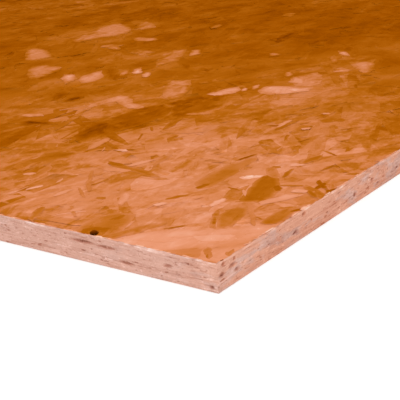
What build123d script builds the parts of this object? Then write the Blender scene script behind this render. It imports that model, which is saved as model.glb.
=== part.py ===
from build123d import *
import os

# One oriented strand board panel: a square-edged sheet, lying flat with its good face up.
# Millimetres, +Z up. The origin is the middle of the underside, and +X runs along the length,
# which is the direction that most of the face strands lie in.

# Sheet
panel_length = 2440
panel_width = 1220
panel_thickness = 18

# Knot hole: a loose knot has dropped out of the top face close to the short edge at -X
knot_length = 9.5
knot_width = 5.6
knot_turn = 41  # degrees of its length from the panel's length
knot_depth = 4.0
knot_from_corner = 94.3
knot_from_edge = 4.8

# Strand voids: flat gaps in the sawn edges, where the ends of crossing strands don't quite meet.
# Each is its distance from the corner at -X -Y, its height as a share of the thickness, its
# length along the edge and its opening height.
void_depth = 2.5
short_edge_voids = [
    (4.5, 0.16, 2.8, 1.0),
    (35.0, 0.55, 5.5, 1.0),
    (66.5, 0.30, 9.0, 1.1),
    (81.0, 0.70, 13.0, 0.9),
    (100.0, 0.73, 15.0, 0.9),
]
long_edge_voids = [
    (4.4, 0.54, 3.6, 2.2),
    (6.0, 0.88, 2.2, 1.4),
    (15.2, 0.66, 5.6, 1.2),
    (19.4, 0.43, 4.6, 1.0),
    (85.0, 0.39, 5.0, 1.2),
    (95.6, 0.86, 3.4, 2.0),
    (163.0, 0.37, 3.2, 1.4),
    (188.5, 0.51, 3.6, 1.4),
]

corner = (-panel_length / 2, -panel_width / 2, 0)
short_edge = Plane(origin=corner, x_dir=(0, 1, 0), z_dir=(1, 0, 0))
long_edge = Plane(origin=corner, x_dir=(1, 0, 0), z_dir=(0, -1, 0))
top_face = Plane(origin=(*corner[:2], panel_thickness))

with BuildPart() as osb_panel:
    Box(panel_length, panel_width, panel_thickness, align=(Align.CENTER, Align.CENTER, Align.MIN))

    with BuildSketch(top_face):
        with Locations((knot_from_edge, knot_from_corner)):
            Ellipse(knot_length / 2, knot_width / 2, rotation=knot_turn)
    extrude(amount=-knot_depth, mode=Mode.SUBTRACT)

    for edge, voids in ((short_edge, short_edge_voids), (long_edge, long_edge_voids)):
        with BuildSketch(edge):
            for from_corner, level, length, height in voids:
                with Locations((from_corner, level * panel_thickness)):
                    Ellipse(length / 2, height / 2)
        extrude(amount=void_depth, both=True, mode=Mode.SUBTRACT)

osb_panel.part.label = "osb_panel"

os.makedirs("parts", exist_ok=True)
export_step(osb_panel.part, "parts/osb_panel.step")
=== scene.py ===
import math

import bmesh
import bpy
import numpy as np
from mathutils import Matrix, Vector
from mathutils.geometry import delaunay_2d_cdt

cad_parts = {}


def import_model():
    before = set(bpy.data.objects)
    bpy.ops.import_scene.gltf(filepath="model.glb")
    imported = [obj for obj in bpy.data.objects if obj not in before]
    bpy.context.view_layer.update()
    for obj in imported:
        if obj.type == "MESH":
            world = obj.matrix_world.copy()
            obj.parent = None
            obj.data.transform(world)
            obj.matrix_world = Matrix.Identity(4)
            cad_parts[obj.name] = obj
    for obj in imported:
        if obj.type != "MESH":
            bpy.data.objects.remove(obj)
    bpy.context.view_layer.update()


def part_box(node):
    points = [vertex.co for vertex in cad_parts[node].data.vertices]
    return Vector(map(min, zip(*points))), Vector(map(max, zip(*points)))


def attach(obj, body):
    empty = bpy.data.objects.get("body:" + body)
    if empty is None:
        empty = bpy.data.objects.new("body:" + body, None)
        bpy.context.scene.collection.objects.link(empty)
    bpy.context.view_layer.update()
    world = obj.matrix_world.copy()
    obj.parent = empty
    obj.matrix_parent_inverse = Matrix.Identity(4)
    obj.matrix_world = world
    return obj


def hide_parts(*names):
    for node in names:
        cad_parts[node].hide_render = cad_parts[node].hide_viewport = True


# An oriented strand board panel, seen over the corner at its lowest X and Y.
# The faces are pressed from thin overlapping strands, each a shallow plate with its own tone
# and grain, and the sawn edges show the strands cut through, as thin layers.

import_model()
low, high = (np.array(corner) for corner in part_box("osb_panel"))
length, width, thickness = high - low
mm = 0.001
chance = np.random.default_rng(41)


def from_corner(x, y):
    """How far a place is from the corner in view."""
    return np.hypot(x - low[0], y - low[1])


def cos_sin(degrees):
    return math.cos(math.radians(degrees)), math.sin(math.radians(degrees))


# Materials

# Colours of the wood by tone, from dark to pale, as the screen shows them
face_ramp = [
    (0.00, (88, 38, 0)), (0.12, (142, 66, 0)), (0.27, (170, 86, 0)),
    (0.38, (185, 100, 12)), (0.46, (198, 112, 36)), (0.55, (212, 126, 69)),
    (0.66, (223, 139, 92)), (0.78, (234, 154, 116)), (0.88, (242, 172, 140)),
    (1.00, (252, 200, 174)),
]
edge_ramp = [
    (0.00, (112, 60, 44)), (0.25, (172, 118, 100)), (0.50, (203, 158, 142)),
    (0.75, (222, 180, 166)), (1.00, (244, 214, 204)),
]
warm_edge_ramp = [
    (0.00, (116, 58, 34)), (0.25, (184, 112, 80)), (0.50, (213, 150, 122)),
    (0.75, (229, 170, 142)), (1.00, (246, 210, 190)),
]
bump_strength, bump_depth = 0.5, 0.3 * mm

# Sockets of a Mix node, by number because its names repeat
mix_share, mix_low, mix_high, mix_result = 0, 2, 3, 0
mix_low_colour, mix_high_colour, mix_colour = 6, 7, 2


def linear(rgb):
    """A colour written as the screen shows it, 0 to 255, as Blender's linear colour."""
    share = np.array(rgb) / 255
    return (*np.where(share <= 0.04045, share / 12.92, ((share + 0.055) / 1.055) ** 2.4), 1.0)


class Nodes:
    """A new material, and a few short ways to add and join its nodes."""

    def __init__(self, name):
        self.material = bpy.data.materials.new(name)
        self.material.use_nodes = True
        self.tree = self.material.node_tree
        self.shader = self.tree.nodes.get("Principled BSDF")

    def join(self, value, socket):
        if isinstance(value, bpy.types.NodeSocket):
            self.tree.links.new(value, socket)
        else:
            socket.default_value = value

    def add(self, kind, outlet=0, inputs=None, **settings):
        node = self.tree.nodes.new(kind)
        for name, value in settings.items():
            setattr(node, name, value)
        for name, value in (inputs or {}).items():
            self.join(value, node.inputs[name])
        return node.outputs[outlet]

    def carried(self, name, outlet="Fac"):
        """What the mesh carries at each point: a number or a vector."""
        return self.add("ShaderNodeAttribute", outlet=outlet, attribute_name=name)

    def math(self, operation, a, b):
        return self.add("ShaderNodeMath", operation=operation, inputs={0: a, 1: b})

    def noise(self, place, scale, detail, roughness, distortion=0.0):
        """Noise with a scale per metre for each axis: along the grain, across it and through."""
        place = self.add("ShaderNodeMapping", inputs={"Vector": place, "Scale": scale})
        inputs = {"Vector": place, "Scale": 1.0, "Detail": detail}
        inputs |= {"Roughness": roughness, "Distortion": distortion}
        return self.add("ShaderNodeTexNoise", inputs=inputs)

    def step(self, value, start, end):
        """0 below start, 1 above end and a soft rise between."""
        inputs = {"Value": value, "From Min": start, "From Max": end}
        return self.add("ShaderNodeMapRange", interpolation_type="SMOOTHSTEP", inputs=inputs)

    def total(self, value, *parts):
        """The value plus each part's (number, weight, middle), measured from its middle."""
        for part, weight, middle in parts:
            centred = self.math("SUBTRACT", part, middle)
            value = self.math("ADD", value, self.math("MULTIPLY", centred, weight))
        return value

    def ramp(self, value, stops):
        node = self.tree.nodes.new("ShaderNodeValToRGB")
        elements = node.color_ramp.elements
        while len(elements) < len(stops):
            elements.new(0.5)
        for element, (place, rgb) in zip(elements, stops):
            element.position = place
            element.color = linear(rgb)
        self.join(value, node.inputs[0])
        return node.outputs[0]

    def bump(self, relief):
        inputs = {"Strength": bump_strength, "Distance": bump_depth, "Height": relief}
        return self.add("ShaderNodeBump", inputs=inputs)

    def dress(self, colour, roughness, specular, others):
        """The finished material, with all of these joined to the shader."""
        inputs = {"Base Color": colour, "Roughness": roughness, "Specular IOR Level": specular}
        for name, value in (inputs | others).items():
            self.join(value, self.shader.inputs[name])
        return self.material


def face_material():
    """Pressed strands: tone, calm and the grain's direction come with each strand's own mesh."""
    n = Nodes("osb_face")
    tone, calm = n.carried("tone"), n.carried("calm")
    grain = n.carried("grain", outlet="Vector")
    here = n.add("ShaderNodeTexCoord", outlet="Object")
    growth = n.noise(grain, (8, 240, 1), 2.0, 0.5)
    fibre = n.noise(grain, (60, 1100, 1), 2.0, 0.6)
    resin = n.step(n.noise(here, (30, 38, 20), 5.0, 0.62, 0.5), 0.46, 0.58)
    blush = n.step(n.noise(here, (52, 76, 30), 4.0, 0.6, 0.4), 0.50, 0.64)
    torn = n.step(n.noise(grain, (40, 130, 1), 4.0, 0.65, 0.3), 0.55, 0.64)
    speck = n.step(n.noise(here, (230, 300, 100), 3.0, 0.65), 0.66, 0.74)
    # pale flecks in the tone: pale chips of wood, and painted glints standing in for small
    # highlights
    fleck_and_painted_glint = n.step(n.noise(here, (200, 320, 100), 3.0, 0.65, 0.5), 0.64, 0.74)
    mottle = n.noise(here, (120, 150, 110), 3.0, 0.6)
    drift = n.noise(here, (24, 34, 16), 1.5, 0.5)
    stain = n.total(
        0.0,
        (growth, 0.08, 0.5),
        (fibre, 0.06, 0.5),
        (resin, -0.12, 0.45),
        (blush, 0.09, 0.3),
        (mottle, 0.24, 0.5),
    )
    shade = n.total(
        tone,
        (torn, -0.05, 0.2),
        (n.math("MULTIPLY", stain, n.math("SUBTRACT", 1.0, calm)), 1.0, 0.0),
        (n.math("MULTIPLY", n.math("SUBTRACT", drift, 0.5), calm), 0.45, 0.0),
        (speck, -0.12, 0.0),
        (fleck_and_painted_glint, 0.12, 0.0),
    )
    roughness = n.total(0.65, (fibre, 0.2, 0.5), (resin, -0.12, 0.5))
    relief = n.total(
        0.0, (growth, 0.6, 0.5), (fibre, 0.4, 0.5), (torn, -0.5, 0.0), (mottle, 1.0, 0.5)
    )
    return n.dress(n.ramp(shade, face_ramp), roughness, 0.0, {"Normal": n.bump(relief)})


def edge_material():
    """Strands sawn through: matt, pink and pale, with short brown streaks between them."""
    n = Nodes("osb_edge")
    tone, calm = n.carried("tone"), n.carried("calm")
    grain = n.carried("grain", outlet="Vector")
    here = n.add("ShaderNodeTexCoord", outlet="Object")
    layer = n.noise(grain, (110, 440, 1), 3.0, 0.6)
    streak = n.step(n.noise(grain, (170, 460, 1), 3.0, 0.65, 0.3), 0.56, 0.68)
    fleck = n.step(n.noise(grain, (240, 420, 2), 3.0, 0.65, 0.3), 0.57, 0.68)
    patch = n.noise(here, (50, 50, 90), 2.0, 0.5)
    pores = n.noise(here, (700, 700, 900), 2.0, 0.6)
    warm = n.step(n.noise(here, (42, 42, 130), 3.0, 0.6, 0.3), 0.35, 0.52)
    shade = n.total(
        tone,
        (layer, 0.35, 0.5),
        (streak, -0.26, 0.15),
        (fleck, 0.22, 0.15),
        (patch, 0.3, 0.5),
        (pores, 0.2, 0.5),
    )
    inputs = {
        mix_share: n.math("MULTIPLY", warm, n.math("SUBTRACT", 1.0, calm)),
        mix_low_colour: n.ramp(shade, edge_ramp),
        mix_high_colour: n.ramp(shade, warm_edge_ramp),
    }
    colour = n.add("ShaderNodeMix", outlet=mix_colour, data_type="RGBA", inputs=inputs)
    roughness = n.total(0.8, (pores, 0.2, 0.5))
    relief = n.total(0.0, (layer, 1.0, 0.5), (streak, -0.8, 0.0), (pores, 0.6, 0.5))
    return n.dress(colour, roughness, 0.05, {"Normal": n.bump(relief)})


face_wood = face_material()
edge_wood = edge_material()


# Meshes from arrays

smallest_face = 1e-9  # smaller faces and those folded over are left out
map_gap = 2.5 * mm  # spare room round each strand in the bake map
map_spare = 1.05  # size of the bake map over what its strands take


def make_object(name, points, triangles, material, tone, grain, atlas, calm, smooth=True):
    """One piece, with the tone, grain and bake map of each point, and a function for its calm."""
    mesh = bpy.data.meshes.new(name)
    mesh.vertices.add(len(points))
    mesh.vertices.foreach_set("co", points.astype(np.float32).ravel())
    mesh.loops.add(3 * len(triangles))
    mesh.loops.foreach_set("vertex_index", triangles.astype(np.int32).ravel())
    mesh.polygons.add(len(triangles))
    mesh.polygons.foreach_set("loop_start", 3 * np.arange(len(triangles), dtype=np.int32))
    mesh.update(calc_edges=True)
    numbers = {"tone": tone, "calm": calm(points[:, 0], points[:, 1])}
    for key, values in numbers.items():
        attribute = mesh.attributes.new(key, "FLOAT", "POINT")
        attribute.data.foreach_set("value", values.astype(np.float32))
    attribute = mesh.attributes.new("grain", "FLOAT_VECTOR", "POINT")
    attribute.data.foreach_set("vector", grain.astype(np.float32).ravel())
    layer = mesh.uv_layers.new(name="OFBake")
    layer.data.foreach_set("uv", atlas[triangles.ravel()].astype(np.float32).ravel())
    mesh.polygons.foreach_set("use_smooth", np.full(len(triangles), smooth))
    mesh.materials.append(material)
    piece = bpy.data.objects.new(name, mesh)
    bpy.context.collection.objects.link(piece)
    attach(piece, "root")
    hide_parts("osb_panel")
    return piece


def grid_triangles(columns, rows):
    """The faces of one grid of points, numbered column by column."""
    a = (np.arange(columns - 1)[:, None] * rows + np.arange(rows - 1)[None, :]).ravel()
    halves = np.stack([a, a + rows, a + rows + 1], 1), np.stack([a, a + rows + 1, a + 1], 1)
    return np.concatenate(halves)


def packed(boxes):
    """A place in a square map for each box, on shelves from the widest down, and its side."""
    boxes = boxes + map_gap
    order = np.argsort(-boxes[:, 1])
    side = math.sqrt(float(boxes.prod(axis=1).sum()) * map_spare)
    places = np.zeros(boxes.shape)
    across, up, shelf = 0.0, 0.0, boxes[order[0], 1]
    for i in order:
        if across + boxes[i, 0] > side:
            across, up, shelf = 0.0, up + shelf, boxes[i, 1]
        places[i] = across, up
        across += boxes[i, 0]
    return places + map_gap / 2, max(side, up + shelf)


def gathered(name, groups, facing, calm):
    """One piece from groups of strands. A group holds, for each of its strands, the points, tone,
    grain and flat outline, and the triangles that all its strands share."""
    boxes = np.concatenate([flat.max(axis=1) - flat.min(axis=1) for *_, flat in groups])
    places, side = packed(boxes)
    points, triangles, tones, grains, atlas = [], [], [], [], []
    strands, corners = 0, 0
    for point, triangle, tone, grain, flat in groups:
        count, each = tone.shape
        here = places[strands : strands + count, None]
        atlas.append(((flat - flat.min(axis=1)[:, None] + here) / side).reshape(-1, 2))
        shift = corners + each * np.arange(count)[:, None, None]
        triangles.append((triangle[None, :, ::facing] + shift).reshape(-1, 3))
        points.append(point.reshape(-1, 3))
        tones.append(tone.ravel())
        grains.append(grain.reshape(-1, 3))
        strands, corners = strands + count, corners + each * count
    points, triangles, tones, grains, atlas = (
        np.concatenate(part) for part in (points, triangles, tones, grains, atlas)
    )
    a, b, c = (points[triangles[:, k], :2] for k in range(3))
    area = (b - a)[:, 0] * (c - a)[:, 1] - (b - a)[:, 1] * (c - a)[:, 0]
    triangles = triangles[facing * area > smallest_face]
    return make_object(name, points, triangles, face_wood, tones, grains, atlas, calm)


# The tone of the wood, which deepens away from the corner in view partly as painted shade, its
# darker and paler areas, and its calm

tone_reach = [0, 110, 200, 290, 400, 600, 900]  # mm from the corner in view
# Tone by distance from the corner: partly the wood's own colour, partly painted shade where the
# light falls off
tone_with_painted_falloff = [0.64, 0.61, 0.56, 0.46, 0.37, 0.29, 0.30]
rest_tone = 0.42
rest_start, rest_blend = 0.75, 0.6  # m from the corner where the rest of the sheet sets in

# Centre from the corner, half length and half width in mm, turn in degrees and change of tone
areas = [
    (235, 225, 90, 26, -8, -0.10), (185, 240, 40, 14, 20, -0.06), (330, 195, 60, 30, -30, 0.04),
    (250, 285, 60, 22, -20, 0.07), (320, 365, 50, 30, -40, 0.09), (350, 260, 60, 30, -20, 0.05),
    (455, 500, 60, 30, -45, 0.10), (520, 500, 50, 30, -60, 0.10), (420, 370, 50, 25, -30, 0.08),
    (250, 340, 40, 22, 40, -0.07), (540, 260, 70, 40, -30, -0.06), (340, 130, 60, 30, -30, 0.10),
    (360, 80, 50, 30, 0, -0.03), (290, 120, 70, 30, -20, -0.05), (110, 225, 30, 12, 0, -0.05),
    (175, 150, 35, 30, -30, 0.08), (60, 185, 40, 25, 0, 0.05), (215, 310, 60, 30, 40, 0.08),
    (175, 12, 50, 20, 0, -0.08), (430, 165, 80, 30, 20, 0.06), (325, 150, 50, 25, 20, 0.05),
    (540, 165, 50, 30, 30, 0.04), (420, 415, 60, 40, 45, 0.04), (660, 430, 80, 220, 0, -0.05),
    (245, 362, 32, 18, 0, 0.09), (190, 290, 45, 25, 45, 0.06), (222, 140, 40, 22, 0, 0.08),
    (165, 172, 50, 22, 0, 0.04), (290, 235, 28, 18, 0, 0.06), (345, 235, 25, 18, 0, -0.06),
    (272, 48, 40, 25, 0, -0.06), (620, 325, 50, 40, 0, 0.05), (560, 460, 40, 30, 0, 0.06),
    (640, 215, 60, 30, 0, -0.06), (375, 212, 40, 22, 0, -0.04), (345, 462, 34, 20, 45, 0.10),
    (515, 490, 34, 24, 0, -0.06), (412, 238, 34, 14, 0, -0.06), (445, 212, 30, 12, 0, 0.07),
    (320, 110, 24, 12, 0, 0.05),
]
area_edge, area_fade = 1.25, 0.5  # in half sizes of the area
area_ripple = 0.15


def base_tone(x, y):
    """Palest at the corner in view and deeper beyond it, partly as painted shade of the light
    falling off, and mottled elsewhere.
    """
    away = from_corner(x, y)
    near = np.interp(away, np.array(tone_reach) * mm, tone_with_painted_falloff)
    wide_waves = 0.06 * np.sin(5.1 * x + 1.3 * np.sin(4.0 * y))
    mottled = rest_tone + wide_waves + 0.05 * np.sin(7.3 * y - 2.2 * x + 1.0)
    share = np.clip((away - rest_start) / rest_blend, 0, 1)
    tone = near * (1 - share) + mottled * share
    for place_x, place_y, half_length, half_width, turn, change in areas:
        dx, dy = x - low[0] - place_x * mm, y - low[1] - place_y * mm
        cos, sin = cos_sin(turn)
        along, across = dx * cos + dy * sin, dy * cos - dx * sin
        ripple = area_ripple * np.sin(dx * 130 + 2 * np.sin(dy * 90)) * np.sin(dy * 160)
        reach = np.hypot(along / (half_length * mm), across / (half_width * mm)) + ripple
        tone = tone + change * np.clip((area_edge - reach) / area_fade, 0, 1)
    return tone


def calm_share(x, y):
    """How much the stains and the strands' own tones fade: not at the corner in view, most of it
    beyond, and not at all again further than the photograph shows."""
    return 0.68 * np.interp(from_corner(x, y), [0.2, 0.45, 0.7, 1.2], [0, 1, 1, 0])


def lively(x, y):
    """How strong the strands' own tones are: stronger on the rest of the sheet."""
    return 1 - calm_share(x, y) + 0.5 * np.clip((from_corner(x, y) - 0.8) / 0.5, 0, 1)


def front_calm(x, y):
    """The seen strands are even near the corner and mottled beyond it."""
    return np.interp(from_corner(x, y), [0.22, 0.36], [0.65, 0.10])


# Strands of the faces, laid at random

# Where along its length a strand has points. Long ones are pressed down all round
long_shape = np.array([-1.0, -0.97, -0.66, -0.24, 0.24, 0.66, 0.97, 1.0]) / 2
short_shape = np.array([-1.0, -0.4, 0.4, 1.0]) / 2
edge_roll = 1.5 * mm  # how far in from its outline a strand's edge is pressed down
edge_drop = 0.16 * mm
narrowing = 0.3  # share of a strand's length over which an end narrows
skew_start, skew_run = 0.3, 0.2  # share of the length from the middle where a slant starts
tip = 0.45  # beyond this share from the middle the end is torn
uneven_width = 0.08
crossing_share = 0.10  # strands that lie in any direction
widest_strand = 42  # mm


def strand_table(count):
    """Empty columns for this many strands. Lengths are in metres, angles in radians."""
    names = "x y angle length width height tilt roll tone bend"
    names += " start_width end_width start_skew end_skew"
    return {name: np.zeros(count) for name in names.split()}


def grain_of(along, across, own):
    """Where points lie in the wood's noise, in which each strand has a place of its own."""
    return np.stack([along + own, across + 0.37 * own, np.broadcast_to(own, along.shape)], axis=-1)


def strand_group(table, shape, rough_end, facing):
    """Plates of one shape for every strand of the table."""
    count, columns = len(table["x"]), len(shape)
    t = {key: column[:, None, None] for key, column in table.items()}
    share = np.broadcast_to(shape[None, :, None], (count, columns, 1))
    start = t["start_width"] + (1 - t["start_width"]) * np.clip((share + 0.5) / narrowing, 0, 1)
    end = t["end_width"] + (1 - t["end_width"]) * np.clip((0.5 - share) / narrowing, 0, 1)
    uneven = 1 + chance.normal(0, uneven_width, (count, columns, 1))
    half = t["width"] / 2 * start * end * uneven
    if columns == len(long_shape):
        inner = np.maximum(half - edge_roll, 0.3 * half)
        across = np.concatenate([-half, -inner, inner, half], axis=2)
        outside = np.ones((1, columns, 4))
        outside[:, 1:-1, 1:-1] = 0
    else:
        across = np.concatenate([-half, half], axis=2)
        outside = np.zeros((1, columns, 2))
    rows = across.shape[2]
    skewed = np.clip((np.abs(share) - skew_start) / skew_run, 0, 1)
    skew = np.where(share < 0, t["start_skew"], t["end_skew"]) * skewed
    ends = chance.normal(0, rough_end, (count, 2, rows))
    torn = ends[:, (shape > 0).astype(int)] * (np.abs(share) > tip)
    along = t["length"] * share + skew * across + torn
    across = across + t["bend"] * (share**2 - 0.08)
    up = t["height"] + t["tilt"] * share + t["roll"] * across / t["width"] - edge_drop * outside
    cos, sin = np.cos(t["angle"]), np.sin(t["angle"])
    x = t["x"] + along * cos - across * sin
    y = t["y"] + along * sin + across * cos
    points = np.stack([x, y, (high[2] if facing > 0 else low[2]) + facing * up], axis=3)
    grain = grain_of(along, across, chance.uniform(0, 50, (count, 1, 1)))
    tone = 0.5 * base_tone(t["x"], t["y"]) + 0.5 * base_tone(x, y)
    tone = tone + t["tone"] * lively(t["x"], t["y"])
    flat = np.stack([along, across], axis=3)

    def listed(table):
        """The same numbers with all points of a strand in one row."""
        return table.reshape(count, columns * rows, *table.shape[3:])

    return listed(points), grid_triangles(columns, rows), listed(tone), listed(grain), listed(flat)


def scattered(count, mean_length, mean_width, top, bottom, spread, contrast):
    """Strands laid at random over the whole face, mostly along the length. Sizes and depths
    are in mm, and the spread of directions in radians."""
    t = strand_table(count)
    columns = int(round(math.sqrt(count * length / width)))
    rows = int(math.ceil(count / columns))
    spots = np.stack(np.meshgrid(np.arange(columns), np.arange(rows)), axis=2)
    spots = spots.reshape(-1, 2)[:count] + chance.uniform(-0.35, 1.35, (count, 2))
    t["x"] = low[0] + spots[:, 0] / columns * length
    t["y"] = low[1] + spots[:, 1] / rows * width
    t["angle"] = chance.normal(-0.08, spread, count)
    cross = chance.random(count) < crossing_share
    t["angle"][cross] = chance.uniform(-1.6, 1.6, cross.sum())
    t["length"] = mean_length * chance.uniform(0.55, 1.45, count) * mm
    widths = chance.lognormal(math.log(mean_width), 0.45, count)
    t["width"] = np.clip(widths, 0.3 * mean_width, widest_strand) * mm
    t["height"] = -chance.uniform(top, bottom, count) * mm
    t["tilt"] = chance.normal(0, 0.07, count) * mm
    t["roll"] = chance.normal(0, 0.05, count) * mm
    for end in ("start", "end"):
        square = chance.random(count) < 0.6
        blunt, pointed = chance.uniform(0.75, 1, count), chance.uniform(0.1, 0.6, count)
        t[end + "_width"] = np.where(square, blunt, pointed)
        t[end + "_skew"] = np.clip(chance.normal(0, 0.6, count), -0.9, 0.9)
    t["bend"] = chance.normal(0, 1.6, count) * mm
    odd = chance.random(count)
    t["tone"] = chance.normal(0, contrast, count)
    t["tone"] -= np.where(odd < 0.10, chance.uniform(1, 3.5, count) * contrast, 0)
    t["tone"] += np.where(odd > 0.92, chance.uniform(1, 3.5, count) * contrast, 0)
    return t


def along_edges(count):
    """Small pale splinters raised by the saw along the arrises."""
    t = scattered(count, 6, 1.4, top=-0.35, bottom=-0.2, spread=0.12, contrast=0.05)
    side = chance.integers(0, 4, count)
    inset = chance.uniform(0.1, 1.0, count) * mm
    t["x"] = np.choose(side, [low[0] + inset, t["x"], t["x"], high[0] - inset])
    t["y"] = np.choose(side, [t["y"], low[1] + inset, high[1] - inset, t["y"]])
    along_width = (side == 0) | (side == 3)
    t["angle"] = np.where(along_width, math.pi / 2, 0) + chance.normal(0, 0.12, count)
    t["tone"] += 0.24
    return t


# Strands seen in the photograph, placed one by one

# Tone, the grain's direction in degrees, and the outline: x and y by turns, in mm from the corner
seen_outlines = [
    # behind the front strand
    (0.42, 0, -3, 92, 3, 91, 15, 82, 28, 77, 36, 69, 24, 69, 14, 73, 4, 77, -3, 82),
    (0.46, 10, -3, 108, 3, 108, 18, 112, 30, 111, 40, 103, 42, 92, 30, 85, 6, 78, -3, 88),
    # amber leaf by the front strand
    (0.44, 10, 46, 32, 54, 37, 62, 42, 74, 44, 82, 40, 83, 33, 76, 30, 69, 27, 60, 26, 53, 25,
     47, 28),
    # strand darkened with painted shade for the shadow on it, and the pale ground and cream
    # splinter before it
    (0.47, -8, 98, 83, 107, 93, 125, 95, 137, 95, 148, 94, 158, 90, 165, 89, 176, 88, 170, 82,
     158, 81, 148, 80, 133, 78, 120, 77, 108, 78, 98, 79),
    (0.64, -8, 110, 62, 118, 73, 132, 78, 148, 75, 166, 75, 160, 66, 142, 58, 126, 57),
    (0.90, -10, 126, 66, 129, 73, 136, 72, 141, 65, 142, 58, 136, 58, 130, 62),
    # dark amber leaf, and the paler one that reaches past it
    (0.46, 12, 155, 66, 162, 63, 158, 58, 144, 47, 136, 50, 143, 57),
    (0.31, 12, 89, 47, 100, 49, 110, 52, 119, 55, 129, 58, 138, 59, 143, 57, 144, 51, 138, 44,
     128, 37, 118, 32, 107, 29, 99, 30, 94, 33, 92, 40),
    # amber leaf at the long edge
    (0.44, 5, 64, 8, 64, 13, 74, 14, 85, 14, 96, 12, 102, 7, 97, 4, 86, 3, 75, 2, 68, 3),
    # corner, orange wedge and front strand, with its orange end and its pale middle
    (0.73, -52, -3, 43, 2, 39, 6, 34, 13, 26, 16, 19, 24, 10, 34, 3, 45, 0, 50, -3, -3, -3),
    (0.62, -60, -3, 42, 2, 39, 6, 34, 13, 26, 15, 20, 10, 15, 4, 12, -3, 12),
    (0.79, -52, -3, 80, 2, 77, 8, 74, 17, 69, 28, 59, 35, 49, 39, 39, 44, 30, 50, 25, 54, 19,
     61, 14, 64, 7, 66, -3, 50, -3, 43, 1, 34, 3, 24, 10, 16, 19, 13, 26, 6, 34, 2, 39, -3, 42),
    (0.76, -48, 38, 30, 47, 24, 57, 12, 64, 4, 66, -3, 52, -3, 40, 4, 32, 10, 30, 20),
    (0.86, -52, 27, 43, 36, 31, 45, 16, 42, 9, 29, 13, 20, 28),
    # dark ground round the knot hole
    (0.36, 41, -3, 99, 1, 105, 8, 107, 16, 100, 16, 90, 8, 85, 1, 86, -3, 90),
    # dark leaf on the left, and its tail
    (0.36, -10, 84, 216, 96, 222, 102, 234, 114, 238, 121, 230, 127, 213, 113, 213, 104, 219),
    (0.45, 15, 60, 200, 68, 209, 82, 213, 95, 215, 90, 207, 76, 202),
    # dark band
    (0.14, 5, 148, 236, 160, 248, 176, 252, 189, 258, 204, 253, 199, 243, 188, 238, 176, 228,
     164, 232),
    (0.24, -12, 170, 226, 186, 238, 203, 252, 226, 253, 248, 251, 266, 241, 262, 226, 240, 215,
     206, 217),
    (0.27, -8, 232, 202, 245, 216, 262, 226, 268, 240, 286, 234, 304, 226, 324, 217, 306, 203,
     278, 186, 258, 193),
    # pale arrow
    (0.70, -60, 224, 295, 241, 300, 262, 299, 275, 295, 274, 284, 266, 275, 262, 284, 250, 289),
    (0.72, 60, 275, 292, 268, 276, 258, 268, 257, 258, 253, 250, 244, 247, 243, 260, 250, 277,
     262, 290),
    # pale strands beyond, from the right
    (0.74, -40, 300, 212, 305, 225, 321, 222, 335, 218, 344, 213, 334, 204, 323, 202, 309, 207),
    (0.60, -50, 364, 166, 368, 153, 378, 148, 392, 154, 407, 162, 416, 173, 406, 180, 394, 186,
     382, 182),
    (0.78, -60, 329, 181, 335, 188, 350, 190, 356, 188, 360, 173, 359, 158, 365, 148, 352, 146,
     338, 158, 328, 171),
    (0.44, 50, 366, 136, 378, 148, 392, 154, 404, 160, 408, 155, 392, 143, 378, 131),
    (0.60, 40, 495, 194, 509, 197, 500, 187, 482, 171, 470, 156, 478, 145, 444, 127, 424, 127,
     441, 145, 460, 164, 481, 182),
    (0.56, 30, 434, 164, 442, 161, 436, 149, 421, 142, 388, 126, 374, 121, 398, 136, 417, 151),
    (0.54, 40, 476, 193, 486, 193, 470, 181, 450, 170, 458, 181),
    (0.22, 40, 462, 197, 466, 192, 442, 172, 412, 148, 378, 127, 371, 128, 404, 152, 432, 175),
    # and from the left
    (0.56, -30, 445, 509, 471, 519, 487, 514, 515, 530, 534, 530, 547, 519, 530, 487, 504, 472,
     486, 475, 471, 486, 458, 490, 443, 494),
    (0.52, 0, 483, 449, 491, 444, 492, 422, 484, 411, 473, 420, 471, 435),
    (0.56, 60, 391, 525, 403, 519, 396, 496, 376, 468, 366, 476, 354, 474, 352, 488, 370, 506),
    (0.56, 70, 334, 461, 344, 448, 342, 428, 328, 417, 305, 417, 289, 417, 298, 434, 316, 450),
    (0.50, 30, 530, 484, 558, 497, 587, 508, 563, 480, 544, 462, 526, 466),
    (0.48, -20, 395, 348, 429, 363, 448, 364, 455, 352, 424, 336, 408, 329, 390, 333, 377, 333),
    (0.66, -30, 298, 362, 305, 373, 322, 381, 340, 379, 346, 377, 340, 368, 325, 357, 310, 354,
     300, 357),
    (0.58, -20, 318, 279, 337, 283, 345, 276, 346, 268, 323, 251, 303, 242, 286, 239, 279, 246,
     289, 258),
]
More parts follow.
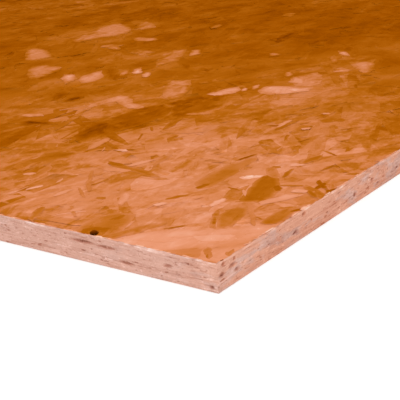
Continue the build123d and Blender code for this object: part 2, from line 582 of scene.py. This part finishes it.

# Slender ones: both ends, width, tone, and how narrow the ends are as shares of the width, with
# one share where they are alike. The darkest narrow ones, up to about 3 mm wide, are dark slits of
# painted shade for the shadows in gaps at strands' edges
seen_slivers = [
    (3, 8, 17, 19, 6, 0.54, 0.5, 0.6), (4, 9, 11, 14, 3.4, 0.42, 0.5, 0.6),
    (22, 5, 12, 1, 6, 0.54, 0.5), (19, 4, 14, 2, 2.6, 0.42, 0.5),
    (3.5, 0.8, 7.5, 0.8, 1.8, 0.08, 0.6, 0.5), (-4, 84, 38, 64, 6, 0.36, 0.9, 0.2),
    (26, 99, 38, 96, 6, 0.38, 0.4), (-3, 98, 14, 88, 13, 0.36, 0.8, 0.3),
    (30, 60, 41, 50, 3, 0.26, 0.3), (44, 34, 71, 49, 4.2, 0.38, 0.9, 0.4),
    (44, 34, 60, 43, 3.0, 0.30, 0.7, 0.3), (128, 40, 118, 33, 6, 0.25, 0.6),
    (131, 69, 137, 64, 4, 1.0, 0.6), (75, 57, 91, 56, 6, 0.86, 0.5, 0.3),
    (72, 91, 88, 82, 5, 0.40, 0.4), (99, 85, 111, 83, 6, 0.34, 0.5),
    (110, 67, 108, 55, 3, 0.35, 0.5), (160, 94, 180, 89, 3, 0.12, 0.4, 0.3),
    (206, 124, 258, 145, 6, 0.31, 0.3, 0.7), (265, 146, 253, 132, 4, 0.28, 0.5),
    (244, 111, 260, 112, 6, 0.68, 0.4), (249, 92, 253, 86, 6, 0.76, 0.6),
    (293, 99, 297, 93, 5, 0.70, 0.6), (246, 119, 250, 111, 4, 0.26, 0.6),
    (272, 87, 287, 75, 13, 0.36, 0.6), (286, 113, 291, 106, 6, 0.40, 0.6),
    (174, 47, 198, 44, 8, 0.35, 0.3), (167, 54, 174, 46, 6, 0.76, 0.5),
    (143, 44, 162, 48, 4, 0.36, 0.4, 0.6), (159, 63, 162, 57, 5, 0.38, 0.5),
    (128, 38, 135, 23, 4, 0.38, 0.4, 0.5), (132, 13, 146, 13, 4, 0.32, 0.5),
    (167, 28, 181, 26, 3, 0.40, 0.4), (167, 8, 173, 1, 5, 0.38, 0.5, 0.7),
    (135, 22, 118, -4, 8, 0.42, 0.5, 0.9), (130, 4, 139, 0, 4, 0.20, 0.5),
    (89, 6, 98, 1, 4, 0.24, 0.5, 0.6), (91, 16, 98, 6, 4.5, 0.42, 0.6),
    (93, 31, 118, 17, 9, 0.70, 0.6, 0.4), (58, 13, 91, 37, 4, 0.42, 0.4),
    (103, 233, 121, 217, 6, 0.30, 0.5), (45, 191, 57, 186, 4, 0.76, 0.4),
    (69, 217, 75, 210, 5, 0.76, 0.5), (43, 178, 57, 171, 7, 0.50, 0.4),
    (2, 145, 27, 158, 6, 0.44, 0.6, 0.4), (44, 164, 60, 162, 5, 0.76, 0.4),
    (35, 140, 21, 124, 3, 0.36, 0.5, 0.7), (27, 134, 35, 129, 6, 0.68, 0.5),
    (61, 148, 97, 176, 3.5, 0.44, 0.4, 0.6), (65, 160, 51, 143, 2.5, 0.42, 0.6, 0.4),
    (54, 135, 57, 129, 5, 0.46, 0.6), (51, 112, 71, 122, 6, 0.78, 0.5, 0.4),
    (60, 91, 68, 87, 5, 0.82, 0.6), (116, 173, 108, 124, 8, 0.44, 0.5, 0.3),
    (118, 178, 115, 161, 7, 0.38, 0.5), (105, 172, 108, 150, 10, 0.68, 0.6),
    (117, 158, 137, 151, 6, 0.74, 0.5, 0.4), (119, 141, 157, 149, 5, 0.46, 0.4),
    (143, 190, 147, 183, 7, 0.84, 0.5), (147, 186, 150, 179, 4, 0.36, 0.6),
    (134, 212, 167, 219, 8, 0.62, 0.3, 0.4), (160, 218, 144, 190, 4, 0.24, 0.3, 0.5),
    (165, 186, 177, 189, 3, 0.46, 0.5), (168, 324, 181, 288, 12, 0.16, 0.6, 0.5),
    (236, 340, 282, 363, 13, 0.20, 0.6), (240, 332, 252, 322, 14, 0.14, 0.8),
    (318, 342, 358, 377, 17, 0.24, 0.7), (326, 336, 362, 358, 10, 0.28, 0.6),
    (334, 344, 354, 352, 6, 0.56, 0.5), (203, 191, 242, 202, 7, 0.30, 0.3, 0.5),
    (163, 273, 224, 292, 6, 0.24, 0.4), (294, 374, 320, 398, 14, 0.74, 0.7, 0.6),
    (346, 334, 366, 348, 10, 0.86, 0.7), (339, 317, 356, 327, 8, 0.72, 0.6),
    (434, 328, 458, 342, 12, 0.70, 0.6), (412, 376, 436, 402, 8, 0.56, 0.6),
    (444, 452, 428, 424, 12, 0.50, 0.6), (186, 336, 196, 316, 10, 0.66, 0.6),
    (197, 190, 212, 160, 10, 0.58, 0.4), (302, 246, 328, 262, 12, 0.66, 0.6),
    (247, 202, 257, 186, 8, 0.53, 0.6), (330, 200, 340, 202, 6, 0.76, 0.6),
    (340, 193, 353, 200, 7, 0.66, 0.6), (370, 166, 394, 182, 12, 0.70, 0.6),
    (392, 190, 408, 198, 9, 0.58, 0.6), (486, 180, 503, 194, 9, 0.82, 0.5, 0.6),
    (424, 160, 436, 148, 8, 0.62, 0.6), (336, 192, 358, 238, 7, 0.24, 0.5, 0.4),
    (376, 114, 420, 138, 12, 0.22, 0.6, 0.5), (518, 281, 574, 290, 13, 0.12, 0.4),
    (518, 232, 538, 242, 18, 0.18, 0.7, 0.6), (597, 242, 608, 220, 15, 0.20, 0.6),
    (648, 346, 670, 354, 16, 0.46, 0.6, 0.5), (562, 390, 580, 398, 12, 0.48, 0.6, 0.5),
    (459, 248, 473, 254, 10, 0.50, 0.6, 0.5), (694, 284, 705, 260, 14, 0.34, 0.5),
    (424, 402, 433, 380, 14, 0.52, 0.6, 0.5), (593, 718, 604, 688, 14, 0.40, 0.6),
    (435, 454, 446, 434, 16, 0.44, 0.6), (123, 25, 126, 15, 7, 0.76, 0.5),
    (128, 16, 118, 3, 5, 0.34, 0.6, 0.4), (148, 20, 136, 8, 5, 0.30, 0.4, 0.6),
    (135, 6, 131, -3, 4, 0.26, 0.6, 0.8), (238, 109, 269, 107, 5, 0.38, 0.4),
    (251, 114, 268, 111, 5, 0.70, 0.5), (281, 125, 288, 109, 6, 0.36, 0.5),
]

# Heights in mm over the face of the first of each kind, and how much higher each next one lies
outline_height, outline_rise = 0.05, 0.0012
sliver_height, sliver_rise = 0.07, 0.0007
plate_drop = 0.10  # mm from a plate's top down to its outline
blend_reach = [150, 350]  # mm from the corner, between which the plates' outlines soften
blend_there = [0.6, 0.75]  # how much of the ground's tone an outline takes


def sliver_outline(x1, y1, x2, y2, wide, narrow_start, narrow_end):
    """A slender strand with slanted ends and uneven sides, in mm."""
    start, end = np.array([x1, y1], float), np.array([x2, y2], float)
    run = np.linalg.norm(end - start)
    along = (end - start) / run
    side = np.array([-along[1], along[0]]) * wide / 2
    slants = chance.normal(0, 0.4, 2) * min(wide, run) / 2
    shares = np.array([0, 0.1, 0.32, 0.55, 0.78, 0.92, 1])
    widths = np.interp(shares, [0, 0.2, 0.6, 0.85, 1], [narrow_start, 0.9, 1.0, 0.85, narrow_end])
    outline = []
    for hand in (-1, 1):
        slant = np.where(shares < 0.5, slants[0], slants[1])
        places = run * shares + hand * slant * np.abs(2 * shares - 1) ** 2
        reach = hand * widths * (1 + chance.normal(0, 0.16, len(shares)))
        line = start + places[:, None] * along + reach[:, None] * side
        outline += list(line[::-hand])
    return np.array(outline)


def anticlockwise(outline):
    following = np.roll(outline, -1, axis=0)
    twice_area = (outline[:, 0] * following[:, 1] - outline[:, 1] * following[:, 0]).sum()
    return outline[::-1] if twice_area < 0 else outline


def uneven_ring(outline, step):
    """Points about a step apart round an outline, each a little off it."""
    ring = []
    for a, b in zip(outline, np.roll(outline, -1, axis=0)):
        parts = max(1, int(np.linalg.norm(b - a) / step))
        ring += [a + (b - a) * k / parts for k in range(parts)]
    return np.array(ring) + chance.normal(0, 0.11 * step, (len(ring), 2))


def depth_inside(ring, spots):
    """How far each spot is inside the ring: negative outside it."""
    a, b, p = ring[None], np.roll(ring, -1, axis=0)[None], spots[:, None]
    side = b - a
    share = np.clip(((p - a) * side).sum(2) / (side**2).sum(2).clip(1e-9), 0, 1)
    far = np.linalg.norm(p - a - share[..., None] * side, axis=2).min(axis=1)
    over = (a[..., 1] > p[..., 1]) != (b[..., 1] > p[..., 1])
    rise = np.where(over, side[..., 1], 1)
    cross = a[..., 0] + (p[..., 1] - a[..., 1]) * side[..., 0] / rise
    odd = (over & (p[..., 0] < cross)).sum(axis=1) % 2 == 1
    return np.where(odd, far, -far)


def plate(tone, turn, outline, height):
    """One strand of any outline, in mm from the corner, as a group of one."""
    outline = anticlockwise(np.reshape(outline, (-1, 2)).astype(float))
    size = math.sqrt(np.ptp(outline, axis=0).prod())
    away = np.linalg.norm(outline.mean(axis=0))
    ring = uneven_ring(outline, np.clip(size / 9, 1.2, 3.5))
    tangent = np.roll(ring, -1, axis=0) - np.roll(ring, 1, axis=0)
    tangent /= np.linalg.norm(tangent, axis=1)[:, None]
    soft = np.clip(size / np.interp(away, blend_reach, [9, 5.5]), 0.5, 7.0)
    second = ring + soft * np.stack([-tangent[:, 1], tangent[:, 0]], axis=1)
    spacing = np.clip(size / 5, 2.0, 7.0)
    rows = [np.arange(a + spacing / 2, b, spacing) for a, b in zip(ring.min(0), ring.max(0))]
    lattice = np.stack(np.meshgrid(*rows), axis=2).reshape(-1, 2)
    second = second[depth_inside(ring, second) > 0.8 * soft]
    lattice = lattice[depth_inside(ring, lattice) > 1.6 * soft]
    spots = [Vector(spot) for spot in np.vstack([ring, second, lattice])]
    border = [(k, (k + 1) % len(ring)) for k in range(len(ring))]
    result = delaunay_2d_cdt(spots, border, [list(range(len(ring)))], 1, 1e-5)
    spots = np.array([tuple(v) for v in result[0]])
    triangles = np.array([f for f in result[2] if len(f) == 3])
    outer = 1 - np.clip(depth_inside(ring, spots) / soft, 0, 1)
    cos, sin = cos_sin(turn)
    flat = spots @ np.array([[cos, -sin], [sin, cos]]) * mm
    x, y = low[0] + spots[:, 0] * mm, low[1] + spots[:, 1] * mm
    z = high[2] + (height * mm - plate_drop * mm * outer)
    grain = grain_of(flat[:, 0], flat[:, 1], chance.uniform(0, 50))
    shade = tone + (base_tone(x, y) - tone) * np.interp(away, blend_reach, blend_there) * outer
    return np.column_stack([x, y, z])[None], triangles, shade[None], grain[None], flat[None]


def seen_groups():
    groups = []
    for tone, turn, *outline in seen_outlines:
        groups.append(plate(tone, turn, outline, outline_height + outline_rise * len(groups)))
    for x1, y1, x2, y2, wide, tone, *narrow in seen_slivers:
        outline = sliver_outline(x1, y1, x2, y2, wide, narrow[0], narrow[-1])
        turn = math.degrees(math.atan2(y2 - y1, x2 - x1))
        groups.append(plate(tone, turn, outline, sliver_height + sliver_rise * len(groups)))
    return groups


# Knot hole, as in the solid, in mm

knot_length, knot_width, knot_depth = 9.5, 5.6, 4.0
knot_turn = 41  # degrees of its length from the panel's length
knot_from_corner, knot_from_edge = 94.3, 4.8
knot_sides = 14
knot_floor = 0.7  # size of its floor as a share of its rim
knot_map = 12 * mm  # width of its bake map


def knot_outline(grow=1.0):
    """Points round the knot hole, a little uneven."""
    turns = np.arange(knot_sides) * 2 * math.pi / knot_sides
    uneven = grow * (1 + 0.06 * np.sin(3 * turns + 0.7) + 0.04 * np.sin(5 * turns + 2))
    along = uneven * knot_length / 2 * np.cos(turns)
    across = uneven * knot_width / 2 * np.sin(turns)
    cos, sin = cos_sin(knot_turn)
    x = low[0] + (knot_from_edge + along * cos - across * sin) * mm
    y = low[1] + (knot_from_corner + along * sin + across * cos) * mm
    return np.stack([x, y], axis=1)


def knot_piece():
    """The walls and floor of the knot hole, with painted shade that is darkest on the floor."""
    rim, floor = knot_outline(), knot_outline(knot_floor)
    floor_z = high[2] - knot_depth * mm
    rings = [
        np.column_stack([rim, np.full(knot_sides, high[2] - 0.1 * mm)]),
        np.column_stack([floor, np.full(knot_sides, floor_z)]),
        [[*floor.mean(axis=0), floor_z]],
    ]
    points = np.vstack(rings)
    a = np.arange(knot_sides)
    b = (a + 1) % knot_sides
    below = a + knot_sides, b + knot_sides
    walls = np.vstack([np.stack([a, below[0], b], 1), np.stack([b, *below], 1)])
    base = np.stack([below[0], np.full(knot_sides, 2 * knot_sides), below[1]], 1)[:, ::-1]
    triangles = np.vstack([walls, base])
    middle = rim.mean(axis=0)
    atlas = 0.5 + np.vstack([rim - middle, (floor - middle) * 0.8, [[0, 0]]]) / knot_map
    # painted shade in the hole: tone 0.14 at the rim, falling to the darkest tone down the walls
    # and on the floor
    tone = np.concatenate([np.full(knot_sides, 0.14), np.zeros(knot_sides + 1)])
    make_object("knot_hole", points, triangles, face_wood, tone, points, atlas, front_calm)


# Sawing off at the sheet's edges, and cutting the knot hole

saw_inset = 0.05 * mm
weld = 1e-7
knot_near = 0.14  # m from the knot hole within which faces may reach into it


def trim(piece, knot=False):
    """Saw a piece off at the four edges of the sheet, and cut the knot hole through it."""
    bm = bmesh.new()
    bm.from_mesh(piece.data)
    points = np.array([v.co for v in bm.verts])
    for axis in (0, 1):
        for limit, sign in ((low[axis] + saw_inset, -1), (high[axis] - saw_inset, 1)):
            if (sign * points[:, axis]).max() <= sign * limit:
                continue
            cut = {"plane_co": Vector((0, 0, 0)), "plane_no": Vector((0, 0, 0))}
            cut["plane_co"][axis], cut["plane_no"][axis] = limit, sign
            geometry = bm.verts[:] + bm.edges[:] + bm.faces[:]
            bmesh.ops.bisect_plane(bm, geom=geometry, dist=weld, clear_outer=True, **cut)
    if knot:
        cut_knot(bm)
    bm.to_mesh(piece.data)
    bm.free()


def cut_knot(bm):
    """Cut the faces on top along each side of the knot hole, and drop those inside it."""
    outline = knot_outline()
    following = np.roll(outline, -1, axis=0)
    middle = outline.mean(axis=0)
    faces = []
    for f in bm.faces:
        reach = min(math.hypot(v.co.x - middle[0], v.co.y - middle[1]) for v in f.verts)
        if f.verts[0].co.z > thickness / 2 and reach < knot_near:
            faces.append(f)
    for a, b in zip(outline, following):
        edges = {e for f in faces for e in f.edges}
        verts = {v for f in faces for v in f.verts}
        cut = {"plane_co": (a[0], a[1], 0), "plane_no": (b[1] - a[1], a[0] - b[0], 0)}
        result = bmesh.ops.bisect_plane(bm, geom=[*verts, *edges, *faces], dist=weld, **cut)
        faces = [g for g in result["geom"] if isinstance(g, bmesh.types.BMFace)]
    inside = []
    for f in faces:
        side, reach = following - outline, np.array(f.calc_center_median())[:2] - outline
        if (side[:, 0] * reach[:, 1] - side[:, 1] * reach[:, 0]).min() > 0:
            inside.append(f)
    bmesh.ops.delete(bm, geom=inside, context="FACES")


# Building the faces

strip_count = 6
core_depth = 0.5 * mm
core_grid = 40, 20


def face_pieces(name, layers, facing):
    """The strands of one face, in strips along the panel."""
    for k in range(strip_count):
        groups = []
        for table, shape, rough_end in layers:
            strip = ((table["y"] - low[1]) / width * strip_count).astype(int)
            strip = np.clip(strip, 0, strip_count - 1)
            part = {key: column[strip == k] for key, column in table.items()}
            groups.append(strand_group(part, shape, rough_end, facing))
        piece = gathered(f"{name}_{k + 1}", groups, facing, calm_share)
        trim(piece, knot=facing > 0 and k == 0)


def core_piece():
    """The wood under the face strands, which shows only in the gaps between them."""
    x = np.linspace(low[0] + core_depth, high[0] - core_depth, core_grid[0])
    y = np.linspace(low[1] + core_depth, high[1] - core_depth, core_grid[1])
    grid = np.stack(np.meshgrid(x, y, indexing="ij"), axis=2).reshape(-1, 2)
    top = np.column_stack([grid, np.full(len(grid), high[2] - core_depth)])
    bottom = np.column_stack([grid, np.full(len(grid), low[2] + core_depth)])
    points = np.vstack([top, bottom])
    triangles = grid_triangles(*core_grid)
    triangles = np.vstack([triangles, triangles[:, ::-1] + len(grid)])
    atlas = (grid - low[:2]) / length * 0.98 + 0.01
    atlas = np.vstack([atlas, atlas + [0, 0.5]])
    tone = np.tile(base_tone(grid[:, 0], grid[:, 1]) - 0.06, 2)
    core = make_object("core", points, triangles, face_wood, tone, points, atlas, calm_share)
    trim(core, knot=True)


top_layers = [
    scattered(3000, 100, 24, top=0.17, bottom=0.28, spread=0.65, contrast=0.03),
    scattered(4400, 80, 16, top=0.03, bottom=0.14, spread=0.75, contrast=0.035),
    scattered(5000, 13, 1.8, top=-0.02, bottom=0.04, spread=0.6, contrast=0.05),
    along_edges(1300),
]
top_shapes = [long_shape, long_shape, short_shape, short_shape]
top_rough_ends = [1.6 * mm, 1.6 * mm, 0.5 * mm, 0.3 * mm]
face_pieces("top_strands", list(zip(top_layers, top_shapes, top_rough_ends)), 1)
trim(gathered("front_strands", seen_groups(), 1, front_calm), knot=True)
under_layer = scattered(3400, 100, 22, top=0.0, bottom=0.4, spread=0.5, contrast=0.04)
face_pieces("under_strands", [(under_layer, long_shape, 1.6 * mm)], -1)
core_piece()
knot_piece()


# Sawn edges

layer_count = 22
face_share = 0.27  # share of the layers on each side that lie as face strands do
fine_reach = 260 * mm  # how far from its start an edge is divided finely
fine_step, coarse_step = 1.0 * mm, 5 * mm
lip_width = 0.8 * mm  # how far the sawn lip reaches over the face
lip_height, lip_fold = 0.2 * mm, 0.12 * mm
lip_room = 1.2 * mm  # its share of the height in the grain and in the bake map
edge_map_rows = 16
# Voids in the edges get painted shade: a dark tone in each hole and a little round it
void_painted_shade_tone = 0.16
void_rim = 0.5 * mm  # how far the dark of a void reaches round it
void_dent = 0.5 * mm
corner_blend = 30 * mm  # over which the two edges in view run into each other
corner_calm = 0.45

# The two kinds of edge. The short ones are pinker and more even, so they have more calm
short_edge = dict(
    direction=(0, 1, 0), run=width, calm=0.8, face_strand=16 * mm, core_strand=70 * mm
)
long_edge = dict(
    direction=(1, 0, 0), run=length, calm=0.1, face_strand=80 * mm, core_strand=16 * mm
)

# Voids in the two edges in view, as in the solid: from the corner, height as a share of the
# thickness, length and opening height, in mm
short_edge_voids = [
    (4.5, 0.16, 2.8, 1.0), (35.0, 0.55, 5.5, 1.0), (66.5, 0.30, 9.0, 1.1), (81.0, 0.70, 13.0, 0.9),
    (100.0, 0.73, 15.0, 0.9),
]
long_edge_voids = [
    (4.4, 0.54, 3.6, 2.2), (6.0, 0.88, 2.2, 1.4), (15.2, 0.66, 5.6, 1.2), (19.4, 0.43, 4.6, 1.0),
    (85.0, 0.39, 5.0, 1.2), (95.6, 0.86, 3.4, 2.0), (163.0, 0.37, 3.2, 1.4),
    (188.5, 0.51, 3.6, 1.4),
]


def smooth_walk(places, spacing, size):
    """A smooth random line: random heights at even spacing, joined by cosines."""
    knots = np.arange(places[0] - spacing, places[-1] + 2 * spacing, spacing)
    heights = chance.normal(0, size, len(knots))
    where = np.clip((places - knots[0]) / spacing, 0, len(knots) - 1.001)
    first = where.astype(int)
    ease = (1 - np.cos(math.pi * (where - first))) / 2
    return heights[first] * (1 - ease) + heights[first + 1] * ease


def layer_lines(places, even):
    """Heights of the lines between the layers, which swell and pinch out along the edge, and of
    the sawn lip that folds over the face."""
    layer = thickness / layer_count
    sag = np.sin(math.pi * even / thickness)[:, None] * smooth_walk(places, 45 * mm, 0.8 * mm)
    walks = np.stack([smooth_walk(places, 15 * mm, 0.4 * layer) for _ in even])
    levels = np.sort(np.clip(even[:, None] + sag + walks, 0, thickness), axis=0)
    ragged = smooth_walk(places, 3 * mm, 0.09 * mm) + smooth_walk(places, 11 * mm, 0.06 * mm)
    levels[0] = 0
    levels[-1] = thickness + lip_height + np.clip(ragged, -lip_height / 2, lip_height)
    return np.vstack([levels, levels[-1] - lip_fold])


def layer_tones(middle, rows, run, face_strand, core_strand, calm):
    """Each layer broken into strands: every cell's tone, and its strand's place in the noise."""
    tone, own = np.zeros((rows, len(middle))), np.zeros((rows, len(middle)))
    for k in range(rows):
        outer = min(k, layer_count - 1 - k) < layer_count * face_share
        mean = face_strand if outer else core_strand
        breaks = np.cumsum(chance.uniform(0.35, 1.65, int(run / mean * 2) + 8) * mean)
        strand = np.searchsorted(breaks, middle)
        tone[k] = 0.50 + 0.06 * calm + chance.normal(0, 0.05, len(breaks) + 1)[strand]
        own[k] = chance.uniform(0, 50, len(breaks) + 1)[strand]
    tone[-2:] += 0.11 + smooth_walk(middle, 4 * mm, 0.12)
    return tone, own


def cell_corners(table):
    """A table of the section's lines, as the four corners of each of its cells."""
    return np.stack([table[:-1, :-1], table[:-1, 1:], table[1:, 1:], table[1:, :-1]], axis=2)


def edge_piece(name, origin, inward, voids, direction, run, calm, face_strand, core_strand):
    """One sawn edge, as a section of thin layers with every cell a face of its own."""
    fine = np.arange(0, min(fine_reach, run), fine_step)
    coarse = np.arange(fine[-1] + coarse_step, run, coarse_step)
    places = np.concatenate([fine, coarse, [run]])
    middle = (places[1:] + places[:-1]) / 2
    even = np.arange(layer_count + 1) * (thickness / layer_count)
    levels = layer_lines(places, even)
    even = np.append(even, thickness + lip_room)
    depths = np.zeros(levels.shape)
    depths[-1] = lip_width * (0.55 + np.abs(smooth_walk(places, 4 * mm, 0.5)))
    rows = len(levels) - 1
    tone, own = layer_tones(middle, rows, run, face_strand, core_strand, calm)
    along = cell_corners(np.broadcast_to(places, levels.shape))
    up = cell_corners(levels)
    flow = cell_corners(np.broadcast_to(even[:, None], levels.shape))
    deep = cell_corners(depths)
    deep[:-2] += chance.uniform(0, 0.05 * mm, (*tone.shape, 1))[:-2]
    tone = np.repeat(tone[:, :, None], 4, axis=2)
    for place, level, void_length, void_height in voids:
        reach = np.hypot(
            (along - place * mm) / (void_length * mm / 2 + void_rim),
            (up - level * thickness) / (void_height * mm / 2 + void_rim),
        )
        inside = np.clip(1.5 - reach, 0, 1)
        # painted shade: each void and a rim round it darkened towards a dark tone
        tone += (void_painted_shade_tone - tone) * inside
        deep += void_dent * np.clip(2 * inside - 0.6, 0, 1)
    direction, inward = np.array(direction, float), np.array(inward, float)
    points = np.array(origin) + along[..., None] * direction + deep[..., None] * inward
    points[..., 2] += up
    first = 4 * np.arange(rows * len(middle))[:, None]
    triangles = np.vstack([first + [0, 1, 2], first + [0, 2, 3]])
    if np.cross(direction, inward)[2] < 0:
        triangles = triangles[:, ::-1]
    own = np.broadcast_to(own[:, :, None], along.shape)
    grain = np.stack([along + own, flow, own], axis=3)
    fold = run / edge_map_rows
    row = np.minimum(np.floor(middle / fold), edge_map_rows - 1)
    row = np.broadcast_to(row[None, :, None], along.shape)
    u = 0.01 + 0.98 * (along - row * fold) / fold
    v = (row + 0.04 + 0.92 * flow / even[-1]) / edge_map_rows

    def blended(x, y):
        return np.interp(from_corner(x, y), [0, corner_blend], [corner_calm, calm])

    points, grain, tone = points.reshape(-1, 3), grain.reshape(-1, 3), tone.ravel()
    atlas = np.stack([u, v], axis=3).reshape(-1, 2)
    make_object(name, points, triangles, edge_wood, tone, grain, atlas, blended, smooth=False)


edge_piece("short_edge_low", low, (1, 0, 0), short_edge_voids, **short_edge)
edge_piece("long_edge_low", low, (0, 1, 0), long_edge_voids, **long_edge)
edge_piece("short_edge_high", (high[0], low[1], low[2]), (-1, 0, 0), (), **short_edge)
edge_piece("long_edge_high", (low[0], high[1], low[2]), (0, -1, 0), (), **long_edge)


# Floor and light

corner = Vector((low[0], low[1], high[2]))
floor_half = 40.0
floor_grey = (0.86, 0.86, 0.86, 1)
floor_glow = 0.30  # for the camera alone, so that the floor shows about white
floor_gap = 0.3 * mm
white = (1, 1, 1, 1)
light_level, seen_level = 0.68, 1.0  # of the world, on the object and for the camera


def floor():
    mesh = bpy.data.meshes.new("floor")
    signs = ((-1, -1), (1, -1), (1, 1), (-1, 1))
    mesh.from_pydata([(a * floor_half, b * floor_half, 0) for a, b in signs], [], [(0, 1, 2, 3)])
    n = Nodes("floor")
    glow = n.math("MULTIPLY", n.add("ShaderNodeLightPath", outlet="Is Camera Ray"), floor_glow)
    others = {"Emission Color": white, "Emission Strength": glow}
    mesh.materials.append(n.dress(floor_grey, 0.9, 0.2, others))
    plane = bpy.data.objects.new("floor", mesh)
    bpy.context.collection.objects.link(plane)
    plane.location.z = low[2] - floor_gap


def world():
    surround = bpy.data.worlds.new("studio")
    bpy.context.scene.world = surround
    surround.use_nodes = True
    tree = surround.node_tree
    background = tree.nodes["Background"]
    path = tree.nodes.new("ShaderNodeLightPath")
    level = tree.nodes.new("ShaderNodeMix")
    level.inputs[mix_low].default_value = light_level
    level.inputs[mix_high].default_value = seen_level
    tree.links.new(path.outputs["Is Camera Ray"], level.inputs[mix_share])
    tree.links.new(level.outputs[mix_result], background.inputs["Strength"])
    background.inputs["Color"].default_value = white


def lamp(name, place, target, size, power):
    """A round lamp, its places in metres from the corner in view and its power in watts."""
    data = bpy.data.lights.new(name, "AREA")
    data.shape = "DISK"
    data.size = size
    data.energy = power
    light = bpy.data.objects.new(name, data)
    bpy.context.collection.objects.link(light)
    place, target = corner + Vector(place), corner + Vector(target)
    light.location = place
    light.rotation_euler = (target - place).to_track_quat("-Z", "Y").to_euler()
    light.visible_camera = False


floor()
world()
lamp("key", (-2.6, -1.4, 3.2), (0.7, 0.4, 0), 2.0, 78)
lamp("fill", (-1.2, -1.9, 0.5), (0, 0, 0), 1.2, 15)


# Camera, fitted to the four edge lines of the sheet in the photograph

photo_width = 400
focal_pixels = 1087.9
sensor = 36
camera_from_corner = Vector((-451.7, -327.4, 240.4)) * mm
heading = math.radians(53.33)  # from +Y towards +X
dip = math.radians(19.88)
lean = math.radians(-3.65)

camera = bpy.data.objects.new("camera", bpy.data.cameras.new("camera"))
bpy.context.collection.objects.link(camera)
camera.data.sensor_width = sensor
camera.data.lens = focal_pixels / photo_width * sensor
camera.data.clip_start = 0.01
camera.data.clip_end = 200
camera.matrix_world = (
    Matrix.Translation(corner + camera_from_corner)
    @ Matrix.Rotation(-heading, 4, "Z")
    @ Matrix.Rotation(math.pi / 2 - dip, 4, "X")
    @ Matrix.Rotation(lean, 4, "Z")
)
bpy.context.scene.camera = camera
bpy.context.scene.view_settings.view_transform = "Standard"
